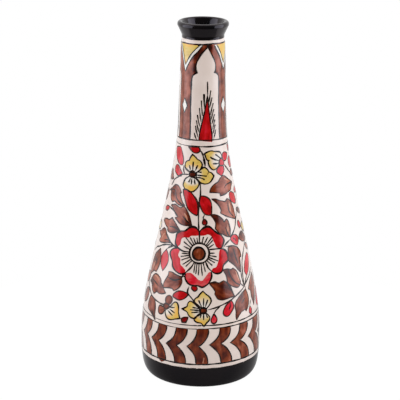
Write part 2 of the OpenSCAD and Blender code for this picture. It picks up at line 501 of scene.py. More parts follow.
def with_ends(rows):
    """The rows with the first and the last one twice."""
    return np.concatenate([rows[:1], rows, rows[-1:]])


def lay(piece, angle, z, lift, brush, wash, ring_rows, ring_columns):
    """Adds one film to a piece's heap. Its grid runs over the face, then back over the sunk back. An
    open film gets one more row at each end, sunk into the glaze, which closes it with a square end."""
    lift = np.full(z.shape, lift)
    if not ring_rows:
        angle, z, lift, brush, wash = (with_ends(rows) for rows in (angle, z, lift, brush, wash))
        lift[[0, -1]] = SINK
    face = on_wall(angle, z, lift)
    back = on_wall(angle, z, SINK)[:, ::-1]
    points = np.concatenate([face, back], 1)
    rows, columns = points.shape[:2]
    brush = np.concatenate([brush, brush[:, ::-1]], 1).reshape(-1, 3)
    wash = np.concatenate([wash, wash[:, ::-1]], 1).ravel()
    quads = faces_of_grid(rows, columns, ring_rows, ring_columns)
    palette.setdefault(piece, []).append((points.reshape(-1, 3), quads, brush, wash))


# %% Washes
# Widest step of a film in degrees, and fewest rows from one side of it to the other
STEP, LEAST_ROWS = 2.0, 4
# Millimetres in a centimetre
CM = 10


def brush_map(angle, z, tone):
    """Brush coordinates in centimetres along and across the motif's long axis, and the motif's tone."""
    x, y = np.radians(angle) * radius(z), z
    spread = np.stack([x.ravel() - x.mean(), y.ravel() - y.mean()])
    axis = np.linalg.svd(spread, full_matrices=False)[0][:, 0]
    along = (x * axis[0] + y * axis[1]) / CM
    across = (y * axis[0] - x * axis[1]) / CM
    return np.stack([along, across, np.full_like(x, tone)], -1)


def shares(wide):
    """Even shares from 0 to 1, in steps no wider than STEP degrees, so a film follows the round wall."""
    return np.linspace(0, 1, max(LEAST_ROWS, int(np.ceil(wide / STEP)) + 1))


def wash_from(roots, angle, z):
    """Wash by distance from the nearest root (angle, height, near, far): 0 within near, 1 beyond far,
    and 3 t^2 - 2 t^3 between them. Without a root the wash is even."""
    if not roots:
        return np.full(z.shape, EVEN_WASH)
    share = np.ones(z.shape)
    for root_angle, root_z, near, far in roots:
        away = np.hypot(np.radians(angle - root_angle) * radius(root_z), z - root_z)
        share = np.minimum(share, np.clip((away - near) / (far - near), 0, 1))
    return share * share * (3 - 2 * share)


def fill(piece, points, tone, turn=0.0, lift=FILL_LIFT, roots=(), steps=CURVE_STEPS):
    """Painted patch: middle + s (outline(t) - middle), with s from 0 at the middle to 1 at the edge."""
    edge = smooth(points, steps=steps)
    middle = edge.mean(0)
    s = shares(np.abs(edge[:, 0] - middle[0]).max())
    grid = middle + s[None, :, None] * (edge - middle)[:, None]
    angle, z = grid[..., 0], grid[..., 1]
    wash = wash_from(roots, angle, z)
    brush = brush_map(angle, z, tone)
    lay(piece, angle + turn, z, lift, brush, wash, ring_rows=True, ring_columns=False)


def band(piece, left, right, tone, turn=0.0, roots=(), steps=CURVE_STEPS):
    """Painted stroke between two edges: (1 - s) left(t) + s right(t)."""
    a, b = smooth(left, False, steps), smooth(right, False, steps)
    s = shares(np.abs(b - a)[:, 0].max())[None, :, None]
    grid = (1 - s) * a[:, None] + s * b[:, None]
    angle, z = grid[..., 0], grid[..., 1]
    wash = wash_from(roots, angle, z)
    brush = brush_map(angle, z, tone)
    lay(piece, angle + turn, z, FILL_LIFT, brush, wash, ring_rows=False, ring_columns=True)


# %% Lines
# Length of a swell in millimetres, its share of the width, and the range that its phase is drawn from
SWELL_LENGTH, SWELL, PHASES = 14, 0.2, 6.3
# How many widths long the narrowing at a free end is
TAPER_REACH = 2.2
# Share of the width that is left at the two ends
POINTED, BLUNT = (0.35, 0.35), (0.8, 0.8)
hand = np.random.default_rng(7)


def line(piece, points, width, closed=False, turn=0.0, taper=POINTED, steps=CURVE_STEPS, smoothed=True,
         lift=LINE_LIFT):
    """Brush line: the path moved half a width to each side, square to its way on the wall. The width
    swells and thins with a slow wave, and at its two free ends it narrows to the tapers."""
    path = smooth(points, closed, steps) if smoothed else np.array(points, float)
    angle, z = path[:, 0], path[:, 1]
    r, rise = radius(z), np.sqrt(1 + slope_at(z) ** 2)
    to_wall = np.stack([np.radians(1) * r, rise], 1)
    flat = np.stack([np.unwrap(np.radians(angle)) * r, z * rise], 1)
    if closed:
        way = np.roll(path, -1, 0) - np.roll(path, 1, 0)
    else:
        way = np.gradient(path, axis=0)
    way = way * to_wall
    way = way / np.maximum(np.linalg.norm(way, axis=1), TINY)[:, None]
    length = np.concatenate([[0], np.cumsum(np.linalg.norm(np.diff(flat, axis=0), axis=1))])
    phase = hand.uniform(0, PHASES)
    cycles = max(1, round(length[-1] / SWELL_LENGTH))
    wave = np.sin(2 * np.pi * cycles * length / max(length[-1], TINY) + phase)
    wide = 0.5 * width * (1 + SWELL * wave)
    if not closed:
        for end, away in zip(taper, (length, length[-1] - length)):
            wide = wide * (end + (1 - end) * np.clip(away / (TAPER_REACH * width), 0, 1))
    side = np.stack([-way[:, 1], way[:, 0]], 1) * wide[:, None] / to_wall
    grid = path[:, None] + np.array([1.0, -1.0])[None, :, None] * side[:, None]
    along = np.repeat(length[:, None] / CM, 2, 1)
    across = np.tile([0.0, 0.1], (len(path), 1))
    brush = np.stack([along, across, np.full_like(along, phase / PHASES)], -1)
    wash = np.full(along.shape, EVEN_WASH)
    lay(piece, grid[..., 0] + turn, grid[..., 1], lift, brush, wash, ring_rows=closed, ring_columns=True)


# %% [markdown]
# ## Rings and the chevron border
# A decorator starts with the rings, holding a loaded brush still while the vase turns on a wheel.
# They lean and wander by up to a millimetre, because the wheel is turned by hand; a torus would be
# too even. Below the lower pair stands a border of seventeen brown chevrons. Their edges are one
# curve: straight near the rings, and swinging back to a point half-way, where the share left of the
# half height is raised to a power.

# %% Rings
# Each ring's height, how far it leans, the angle it leans up towards, its width, and where it runs thin
RINGS = {
    "collar": (312.0, 0.3, 20, 0.9, 180),
    "neck_top": (226.0, 0.3, 10, 1.1, 180),
    "neck_low": (220.2, 0.7, 25, 1.3, -55),
    "field": (62.2, 0.5, 50, 1.15, -40),
    "border": (58.9, 0.5, 40, 1.15, -20),
    "border_low": (25.0, 0.2, 0, 1.4, 180),
}
ring_z = {name: row[0] for name, row in RINGS.items()}
WOBBLE, DRY_SHARE = 0.2, 0.6


def ring(z, lean, towards, width, dry, phase):
    """Closed line round the vase: its height leans as a cosine of the angle and wanders in two waves,
    and its width falls by a share of the cosine to the sixth power round the place where it is dry."""
    angle = np.arange(0, 360, STEP)
    turn = np.radians(angle)
    wander = np.sin(2 * turn + phase) + 0.5 * np.sin(5 * turn - phase)
    height = z + lean * np.cos(turn - radians(towards)) + WOBBLE * wander
    thinned = 1 - DRY_SHARE * np.clip(np.cos(turn - radians(dry)), 0, 1) ** 6
    line("ring_lines", np.stack([angle, height], 1), width * thinned, closed=True, smoothed=False)


for number, row in enumerate(RINGS.values()):
    ring(*row, phase=1.3 * number + 0.6)
print("rings:", len(RINGS))

# %% Chevrons
# The seven at the front: left edge at the top, point with its height, left edge at the foot, width, tone
FRONT_CHEVRONS = [
    (-63.5, -71.2, 43.5, -63.8, 9.2, 0.5),
    (-44.4, -54.1, 42.5, -45, 9.9, 0.38),
    (-23.9, -34.5, 42, -25.2, 11.2, 0.15),
    (-3.4, -12.8, 42.5, -4, 11.2, 0.24),
    (18.7, 8.5, 44.3, 20.1, 11.3, 0.18),
    (41, 29.6, 44, 42.7, 11.4, 0.47),
    (61.9, 52.4, 44.7, 64.7, 13.4, 0.3),
]
CHEVRONS, CHEVRON_LINE = 17, 1.2
# The others: width, reach of the point and its height, how far the foot leans, and the range of tones
BACK_WIDE, BACK_REACH, BACK_POINT_Z, BACK_LEAN, BACK_TONES = 11.0, 9.8, 43.3, 0.5, (0.15, 0.45)
# How far the widths stray, and how much higher the point of the right edge stands
WIDE_STRAY, RIGHT_RISE = 0.3, 0.2
# Brown that ran over the ring below one chevron
SPILL = [tip(-44.5, 25.3), (-42.5, 23.5), tip(-40, 22.2), (-37.3, 23.6), tip(-34, 25.3)]
# The chevrons run a little way under both rings
chevron_top, chevron_low = ring_z["border"] + 0.2, ring_z["border_low"] - 0.3


def chevron_edge(top, point, point_z, foot):
    """Edge from top to foot: a straight line, less reach (1 - distance to the point / half height) ** 2.5."""
    z = np.concatenate([np.linspace(chevron_top, point_z, 14), np.linspace(point_z, chevron_low, 14)[1:]])
    half = np.where(z > point_z, chevron_top - point_z, point_z - chevron_low)
    straight = np.interp(z, [chevron_low, chevron_top], [foot, top])
    reach = np.interp(point_z, [chevron_low, chevron_top], [foot, top]) - point
    swing = (1 - np.abs(z - point_z) / half) ** 2.5
    return list(zip(straight - reach * swing, z))


hidden = CHEVRONS - len(FRONT_CHEVRONS)
back_step = (360 + FRONT_CHEVRONS[0][0] - FRONT_CHEVRONS[-1][0]) / (hidden + 1)
back_tops = FRONT_CHEVRONS[-1][0] + back_step * np.arange(1, hidden + 1)
back_chevrons = [
    (top, top - BACK_REACH, BACK_POINT_Z, top + BACK_LEAN, BACK_WIDE, hand.uniform(*BACK_TONES))
    for top in back_tops
]
for top, point, point_z, foot, wide, tone in FRONT_CHEVRONS + back_chevrons:
    wide += hand.uniform(-WIDE_STRAY, WIDE_STRAY)
    left = chevron_edge(top, point, point_z, foot)
    right = chevron_edge(top + wide, point + wide, point_z + RIGHT_RISE, foot + wide)
    band("chevron_wash", left, right, tone, steps=1)
    for edge in (left, right):
        line("chevron_lines", edge, CHEVRON_LINE, steps=1)
fill("chevron_wash", SPILL, tone=0.3)
print("chevrons:", CHEVRONS)

# %% [markdown]
# ## The flower field
# The body carries a trellis of the old garden kind: one large open flower, small yellow ones, buds
# on thin stems and split leaves. The washes come first, one colour at a time, and a black line round
# each follows. Such shapes could be drawn in Edit Mode, but a list of points is easier to correct
# and to repeat: the pattern is drawn for the front, and the back has it again half-way round.

# %% Red buds: each tone from full to thin paint, and the outline
BUDS = [
    (1, [(-71, 216.5), (-60, 218), (-53, 217.5), (-46, 213), (-42, 208.5), (-41, 204.5), (-44.5, 202.5),
        (-52, 203), (-61, 206), (-69.5, 211), (-72, 214.5)]),
    (0.75, [(-60, 201.5), (-52, 201), (-46, 198), (-41, 194.5), (-48, 192), (-57, 193.5), (-63, 195.5),
        (-64.5, 198.5)]),
    (0, [tip(-31.5, 220), (-21.5, 216), (-15, 215), (-8.5, 215.5), (-4.5, 217.5), tip(-7, 220.3)]),
    (1.2, [(48.5, 212), (52, 213.5), (59.5, 213.4), tip(67, 211.8), (63, 207.5), (57, 206), (50, 206.5),
        (48, 209.3)]),
    (0.55, [(38, 205.2), (40.5, 208), (45, 208.4), (50, 206.4), (51, 204.5), (48.5, 202.4), (43, 202.2),
        (39, 203.1)]),
    (1, [(40.5, 202.5), (47, 202), (49, 199.3), (46.7, 196), tip(40.5, 193.4), (35, 195.2), (30, 198),
        (33, 200.6)]),
    (0.45, [(-73, 160.5), (-69, 162.7), (-64, 163.3), tip(-59.5, 163), (-61, 160.5), (-66, 158.6),
        (-71.5, 158.8)]),
    (0.4, [tip(-34, 181.5), (-28, 182), (-21.5, 180.8), (-17, 179), (-11.7, 176), (-8, 173),
        (-5.5, 169.5), (-5, 165), (-5.2, 162), tip(-7.2, 160), (-12.8, 161.2), (-18.3, 163.2),
        (-23, 166.2), (-26, 169.5), (-29.5, 174), (-33, 178.3)]),
    (0.35, [(-2.8, 176.7), (1.7, 177.2), (7.2, 176.5), (12.8, 174.5), (15.5, 171.5), (16.3, 168.5),
        (16, 164.5), tip(15.5, 161), (11.7, 160.2), (6, 161), (2.2, 163), (-1, 166.5), (-3.3, 170.3),
        (-3.9, 174)]),
    (-0.2, [(3.9, 157), (6.7, 155.7), (8, 154), (7.2, 152.3), (4, 151.8), (1.4, 153), (1.7, 155)]),
    (0.8, [(58, 177.3), (64, 176.2), (69.5, 174.3), (72, 171), (72, 167.5), (68.5, 165.3), (63, 166.2),
        (57.2, 168.5), (54, 171.2), (53.3, 174.5), (54.5, 176.3)]),
    (0.6, [(65, 150), (69.5, 148.5), (72, 145.7), (71.5, 144), (67.8, 142.5), (64, 144.4), (63, 147.5)]),
    (0.9, [tip(-49, 126), (-45, 122.5), (-43, 118.7), (-43, 115), (-45.5, 110.5), tip(-49.2, 106),
        (-53, 109.2), (-55.5, 113.3), (-56.5, 117.3), (-54.5, 121)]),
    (1.1, [(75, 118), (77.5, 114.5), (74.5, 109), (69, 103.7), tip(62, 99.6), (59, 103.7), (60, 108),
        (64, 113.2), (69.5, 117)]),
    (0.95, [(49, 139.7), (55, 138.3), (58, 135.5), (57, 132.5), (53, 129.7), (47, 132), (43, 135),
        (42.3, 136.8), (44.5, 138.6)]),
    (0.85, [tip(33, 82.7), (35, 80), (35.5, 76.7), (33, 73), (28.3, 69.2), (24.5, 70), (23, 72.6),
        (24, 75.8), (27.2, 79.5)]),
    (1.35, [tip(13.2, 72.7), (15.5, 70), (16.3, 67.5), (15.5, 65.2), (13.8, 64), (12, 64.1), (10.5, 65.6),
        (10.3, 67.6), (11.7, 70.4)]),
    (0.65, [tip(59.3, 71.7), (61.5, 69.5), (62, 67), (60.5, 64), (57, 66), (57.2, 69)]),
    (0.4, [(-30.5, 86.7), (-28.3, 90), (-24, 92.1), (-18.5, 92.1), (-14, 90.3), (-15, 88), (-18.5, 85.4),
        (-23, 84.2), (-28, 85.3)]),
    (0.2, [(-8.5, 97.8), (-4.5, 97), (-4, 95), (-6.7, 93.4), (-9.5, 95), (-10, 96.7)]),
    (-0.6, [tip(-19.4, 67.5), (-16.5, 69.2), tip(-12.3, 69.7), tip(-14.3, 64.4), tip(-18.3, 64.4)]),
    (1.1, [(68, 205.5), (73, 208), (80, 207.5), (85, 203), (80, 198.5), (72, 198.5), (68, 201.5)]),
    (1.1, [(77, 73), (81, 79), (86, 83), (91, 76), (87, 66.5), (80, 66), (76.5, 69.5)]),
    (1, [(73, 176), (77, 179), (85, 178.5), (88, 175.5), (80, 173.8)]),
    (0.3, [tip(71, 219), (78, 219), (85, 217), (82, 213.5), (75, 213.5)]),
]

# %% Brown leaves: each tone from dark to light, the roots where the brush was fullest, and the outline
LEAVES = [
    (0.42, [(15, 181, 2, 15)], [tip(70.5, 184.7), (64, 187), (55, 190), (47, 193), (42, 193.3),
        (36.5, 191.5), (31.5, 188.8), (23, 186.8), (18.5, 185), (15.5, 183), tip(14, 180.2), (22, 179.8),
        tip(32.8, 178.5), tip(33.3, 176), (43, 176.6), (53, 178), (60.5, 179), (64.5, 182)]),
    (0.5, [], [tip(-63.5, 188), (-68, 191), (-74, 195.5), (-80, 195), (-84, 190), (-80, 187),
        (-72, 186.8)]),
    (0.6, [(-55, 179, 1, 12)], [tip(-70.5, 177), (-62, 180.5), (-58, 182.5), (-53, 184), (-47, 183.8),
        (-42, 182), tip(-37, 178.2), tip(-40, 177.8), (-37, 174), (-33, 170.5), tip(-28, 167.5),
        (-36, 167), (-44, 168), tip(-49.5, 169.6), (-55, 168.5), (-60, 170.3), (-63.5, 173.5),
        (-64, 177)]),
    (0.33, [(-16, 151, 3, 13)], [tip(-57, 165), (-51.5, 166.3), (-46, 166.8), (-40.5, 165.8),
        tip(-35, 165), tip(-29, 167), (-24.5, 164.5), (-20, 160.5), (-17, 157), (-15, 152.5),
        tip(-14, 150.5), (-19.5, 150.3), (-26, 150.3), (-33, 151.3), (-38, 153.3), tip(-43, 155.3),
        tip(-37.5, 156.6), (-42, 159), (-47, 161), (-52, 163.5)]),
    (0.28, [(-34, 145, 1, 12)], [tip(-69, 149), (-66.5, 151), (-60.5, 152), (-55, 152), tip(-52, 153),
        tip(-48.3, 154.6), (-44, 152.5), (-38, 149.5), tip(-31.5, 145.3), (-37, 143.2), (-42, 141.6),
        (-47, 141.2), (-53, 142), tip(-54.5, 144.5), (-60, 146), (-67, 148)]),
    (0.48, [(-46, 132, 1, 10)], [tip(-63, 143), tip(-58, 142.5), (-55, 140), (-51.5, 137.8), (-47, 135),
        tip(-44, 132.5), (-54, 131), (-60.5, 130), (-68, 129.5), tip(-70, 131), tip(-67, 133.7),
        (-70, 135.3), tip(-77, 137.7), (-70.5, 139.3), (-66.5, 141.5)]),
    (0.33, [(20, 173, 2, 15)], [tip(17, 174.2), (24, 173.8), (30.5, 172.3), tip(41.7, 170.3),
        tip(46.7, 172.4), (52, 170.7), (55.5, 168), (58.3, 164), (59.5, 160), (60, 155.7),
        tip(59.5, 152.5), (53, 154), (45, 156), (37, 158.5), tip(30.5, 161), tip(32, 163), (30.5, 166),
        (26, 169.5), (20.5, 172.5)]),
    (0.15, [(15, 160, 3, 17)], [tip(14, 160.5), (21.5, 160.2), (28, 158.3), (32.8, 155.3), tip(35, 152.8),
        tip(40, 155), (42.8, 152.5), (44, 148.5), (44.2, 144), tip(42, 138.5), (36, 140), (30.5, 142.3),
        (26, 143.5), tip(20, 148), tip(21, 150.3), (21, 153), (18.3, 156.6), (15.5, 159)]),
    (0.4, [(-69, 117, 2, 12)], [tip(-61.5, 124.3), (-58.3, 119.5), (-57, 115), (-57, 110.5), (-59, 106),
        tip(-61.5, 102.5), tip(-65, 102.9), (-69, 101), tip(-74, 97.5), (-76.5, 102.5), (-76, 107.5),
        (-75, 112), (-73, 116.5), (-67.5, 120.5)]),
    (0.4, [(-24, 104, 1, 14)], [tip(-39.5, 107.3), (-34.5, 107.5), (-29, 106), tip(-22.8, 105),
        (-21.4, 102), (-21.4, 99.5), (-23.3, 96.3), (-26, 93.5), tip(-30.3, 91.5), tip(-32.2, 93.3),
        (-38, 92.9), tip(-44.5, 91.7), (-44.7, 95), (-43.5, 98), (-41, 101.8), (-39.5, 104.5)]),
    (0.12, [(-68, 94, 1, 9)], [(-59, 101), (-53, 100), (-49.5, 97.5), tip(-49, 95.5), (-46, 93.5),
        (-43, 90.5), tip(-40, 87.5), (-45, 85.8), (-49.5, 85.3), tip(-53.3, 86), tip(-58.3, 82.9),
        (-62.2, 85.4), (-64.5, 88.5), (-67.5, 91), tip(-71, 91.7), (-69.5, 94), (-67, 97.2),
        (-63.5, 99.8)]),
    (0.33, [], [(37, 129.5), (43.5, 130.3), (48.5, 129.2), (54, 126.5), (57, 122.8), tip(57, 118.7),
        tip(53.8, 118.3), (53.6, 115), (52.8, 110.5), tip(51.4, 105.3), (47.2, 108.3), (43, 112.8),
        (38.3, 116), (35, 118.3), (35.2, 122.4), (36, 126.5)]),
    (0.3, [(29, 110, 2, 14)], [tip(26, 111), (31.5, 111.2), tip(36.7, 109.9), tip(40, 110.8), (44, 108.3),
        (46.2, 105), (47.5, 100.5), (48.8, 96), (44, 92.9), (38.3, 94.2), (34, 96.3), (30.5, 99.5),
        (30.3, 102.5), (29.3, 106), (27.2, 109.2)]),
    (0.05, [(66, 139, 1, 8)], [tip(59, 135), (63, 138), (68.5, 139.5), (73, 138.3), (79, 134.5),
        tip(83, 131), (75, 129.5), (67, 130.5), (61.5, 133.3)]),
    (0.15, [], [(9.5, 100.5), (15, 101), tip(20.5, 99.8), tip(26, 101.5), (30, 99), (33, 95.4), (35, 91),
        (36.5, 87.5), tip(38.5, 85.6), (33, 85.5), (26, 84.5), (21.5, 84.7), (18, 86), (16, 88.5),
        tip(14.8, 90.4), tip(15.5, 92.6), (13, 96.3), (10.3, 99)]),
    (0.3, [], [tip(55.5, 88.7), (57.2, 85), (58.3, 81), (58.3, 77), (56.5, 73), tip(52, 69.2),
        tip(50.5, 71), (45, 69.7), (40.5, 66.7), tip(37.8, 64), (37.2, 67.5), (37.8, 72), (37.2, 76.7),
        (39, 80.4), (43, 83.5), (48.3, 86.3)]),
    (0.2, [(68, 73, 1, 14)], [tip(77, 99), (67, 93.5), tip(61, 87.5), tip(65, 85), (65, 79.5),
        tip(68.3, 70.4), (74, 76.7), (78, 83.5), (81, 92)]),
    (0.3, [(-51, 61, 4, 13)], [(-61, 80.3), (-55, 78), (-52.8, 74.5), (-51.7, 70.8), (-51.7, 65.5),
        tip(-50.5, 60.1), (-54.5, 62.6), (-59, 65), (-64.5, 67.2), (-66.7, 70), (-66, 74.5),
        (-64, 78.5)]),
    (0.35, [], [(-35, 86.5), (-31.7, 85.4), (-30.8, 82.6), (-33.3, 78.5), (-37.2, 78.5), (-39, 81.3),
        (-38.3, 84.5)]),
    (0.1, [], [(-41, 76.3), (-39, 78.4), (-36, 78.6), (-33.5, 76.5), (-35, 74.2), (-38.5, 73.8)]),
    (0.5, [], [(-45, 75.4), (-39.4, 74), (-39.2, 71.3), (-41.7, 68.1), (-46.1, 68.1), (-47.4, 71.3),
        (-46.7, 74)]),
    (0.35, [], [tip(67, 160), (72, 161), (80, 159), (86, 156), (80, 154.5), (72, 156.5)]),
    (0.65, [], [tip(-69, 84), (-73, 85), (-79, 82), (-82, 76), tip(-78, 69.5), (-73, 72), (-69.5, 77)]),
    (0.5, [], [tip(68, 194), (74, 196), (82, 195), (87, 192), (80, 190), (72, 191)]),
    (0.65, [], [tip(73, 127), (80, 126), (87, 122), (82, 120), (76, 122)]),
    (0.6, [], [tip(-74.5, 176), (-79, 177), (-86, 173), (-84, 168), (-78, 167.5)]),
    (0.8, [], [tip(-73.5, 96), (-78, 99), (-85, 97), (-88, 92), (-84, 88), (-77, 90)]),
]

# %% Yellow petals, each with the root where its wash is thinnest: angle, height, inner and outer distance
PETALS = [
    ((-18.5, 196, 5, 10), [tip(-23.5, 197.5), (-35, 201), (-36, 204), (-34, 206.5), tip(-27, 208),
        (-24.5, 211), tip(-20.5, 213.5), (-14, 211.5), (-9.5, 209.5), (-3, 208), (0.5, 205),
        (-0.5, 202.5), (-5, 199.5), tip(-12, 197.3)]),
    ((-18.5, 196, 6, 10.5), [tip(-10, 198), (-3, 200.3), (3, 202.3), (6, 202.3), (10.5, 200.7),
        tip(14, 198.3), (19.5, 197), tip(23.5, 194.5), (20.5, 192), (15, 189), (8.5, 187.8), (3, 188),
        (-3, 189), (-7, 191), tip(-11, 193)]),
    ((-18.5, 196, 8, 11.5), [tip(-24, 194), (-31.5, 191.5), (-34.5, 188.5), (-35.5, 185.5), (-31, 182.5),
        (-24, 181), (-19, 180.3), (-13, 181.5), (-7.5, 184.5), (-5, 188), (-7, 190.5), tip(-12, 192.8)]),
    ((37, 208, 4.5, 10), [tip(5, 214.5), (11.5, 216), (20, 216.8), (28, 216), (36, 215.5), (42, 214.5),
        (46, 211.5), (45.5, 209.3), (41, 208.6), (37.6, 206), (37.6, 203.6), (35, 202.2), (31.5, 201),
        (27, 200), (22, 200), (17, 202), (14, 204.5), (13, 207.5), tip(14.5, 208.3), (9.5, 209.5),
        (7, 212.5)]),
    ((2.8, 76, 5, 15), [tip(0.5, 78.5), (-3.3, 81.3), (-6.3, 84), (-6, 86.5), (-2.8, 88.5), (-0.8, 91),
        tip(2.2, 93.5), (5.5, 90.8), (9, 88.3), (10.8, 85), (9.4, 81.7), tip(6, 78)]),
    ((2.8, 76, 6, 12.5), [tip(-1.5, 78.3), (-5, 81.3), (-8.5, 83.6), (-11.5, 84), (-13.3, 81.7),
        (-14, 79.3), tip(-19.2, 76.5), (-14, 74.5), (-12.2, 71.7), (-9.5, 69.5), (-5.5, 69), (-3.3, 71.7),
        tip(-0.5, 74)]),
    ((2.8, 76, 3.5, 10), [tip(1.2, 73.8), (-2, 71.5), (-5.5, 70), (-6.2, 67.5), (-3.5, 65.4), (0.5, 64.6),
        tip(3.3, 61.5), (5.5, 64.5), (8.3, 67.2), (9, 70), (7.2, 72.3), tip(4.8, 74)]),
    ((-36, 75, 3.5, 10.5), [(-26.7, 81.8), (-24, 80.3), (-22.8, 76.7), (-22.6, 73), tip(-20.8, 67.6),
        (-26, 66.3), (-31, 64.9), (-35, 65.8), (-37.3, 69), (-37.8, 72.2), (-35, 74.7), (-32, 77),
        (-29.5, 80)]),
    ((-72, 142, 2, 9), [tip(-74, 142), (-78, 146), (-86, 146), (-92, 142), (-86, 138.5), (-78, 139)]),
    ((92, 141, 2, 6), [tip(73, 143), (78, 145.5), (85, 145), (90, 141), (85, 137.5), (77, 138.5)]),
]
YELLOW_TONES = (0.2, 0.8)
# The brown eyes of the flowers: angle, height and radius
EYES = [(-18.5, 196, 2.9), (2.8, 76, 2.9)]

# %% The large flower: each petal is the red stroke between its rim and the bare heart
HEART, EYE_R, EYE_LINE_R = (-3.0, 126.5), 5.4, 5.6
HEART_RING, RING_R = (-2.3, 127.0), 8.9
FLOWER = [
    ([tip(-3, 146), (-7, 149), (-12.8, 150), (-18.3, 148.5), (-22.8, 145.8), (-30.5, 144.6), (-35, 142),
      (-36, 137.5), (-35.8, 133.5), tip(-31.7, 130.4)],
     [tip(-3, 142.6), (-8.3, 142.1), (-13.9, 141.9), (-17.2, 140.1), (-22.8, 140), (-27.2, 138),
      (-27.8, 135.5), (-28.3, 133.3), (-30, 131.8), tip(-31.7, 130.4)]),
    ([tip(-2.2, 146), (0.5, 148), (7.2, 150.3), (12.8, 149.5), (17.2, 147), (21.7, 144.2), (27.2, 142),
      (30.8, 138.5), (31, 135.5), tip(26.7, 130.2)],
     [tip(-2.2, 142.6), (1, 142.3), (5, 142.7), (9.4, 143.3), (13.9, 141.5), (15.5, 138.7), (17.8, 135),
      (19.5, 132), (22, 130.8), tip(26.7, 130.2)]),
    ([tip(26.7, 129.8), (31, 128.5), (33.5, 126), (34.4, 122.4), (33.9, 118.7), (30.5, 116.9),
      (27.2, 115), (26, 112), (24.4, 109.6), (19.4, 108.4), (14.4, 109.6), tip(12.2, 111.2)],
     [tip(26.7, 129.8), (24.4, 129.2), (22.8, 126), (22.2, 122.4), (21.5, 120), (20.5, 118), (19.3, 116),
      (18.3, 114.6), (16.5, 113.8), (14.4, 113.5), (13, 112.5), tip(12.2, 111.2)]),
    ([tip(11.7, 110.5), (12.2, 107.4), (11, 103.7), (8, 100), (4.5, 98), (1, 97), (-3.3, 98.3),
      (-8.3, 98.3), (-13, 99.3), (-16.5, 102), (-18.3, 105), tip(-17.8, 108.3)],
     [tip(11.7, 110.5), (9, 110), (7.2, 108.3), (5.5, 106.7), (3.9, 105), (1.1, 102.8), (-2.8, 103.7),
      (-6, 106), (-9.4, 108.3), (-12, 109.3), (-15, 109.3), tip(-17.8, 108.3)]),
    ([tip(-18.3, 108.7), (-22.8, 107.4), (-28.3, 108.3), (-33, 110.7), (-35.5, 113.3), (-36.7, 117),
      (-39.4, 120), (-41.7, 123.3), (-41, 126), (-37.2, 128.5), tip(-32, 129.7)],
     [tip(-18.3, 108.7), (-18.5, 111.3), (-21.7, 113.7), (-24.5, 115.3), (-25.5, 117), (-26, 120.5),
      (-28, 122), (-29.4, 123.5), (-29, 125.5), (-28, 128), tip(-32, 129.7)]),
]
PETAL_TONES = (0.4, 0.4, 0.65, 1.35, 0.8)
SEAMS = [
    [(-2.6, 147), (-2.6, 141), (-2.3, 135.3)],
    [(-15.5, 127.6), (-24, 127.8), (-31.5, 130), (-37, 131)],
    [(10.5, 130.1), (18, 130.2), (28, 130.3)],
    [(-8.3, 118.7), (-11.7, 114.2), (-18.3, 108.7), (-21.7, 105), (-23, 102.5)],
    [(5.5, 119.2), (8.3, 114.2), (12.2, 111)],
]
# The outer ends of the spokes that run in to the ring
SPOKES = [
    (-6, 140.5), (-10.3, 140.3), (-15.2, 140.5), (-21.5, 140.2), (-23.5, 136), (-23, 132), (-25, 125.6),
    (-26, 122.7), (-24.5, 119.7), (-22.5, 115.9), (-18.5, 114.5), (13.3, 116), (16.5, 118.3), (21, 119.5),
    (19.2, 123.3), (17, 126.7), (16.5, 134.5), (15.5, 138), (15, 141.2), (8.5, 141), (3, 141.5),
]
# The lowest spokes hang straight down from the ring
LOW_SPOKES = [
    [(-8.3, 109.7), (-7, 118.6)], [(-5.9, 108.7), (-4.8, 118.2)], [(-3, 107.5), (-2.4, 118)],
    [(1.6, 107), (-0.1, 118.2)], [(5.2, 110.5), (2.3, 118.8)],
]

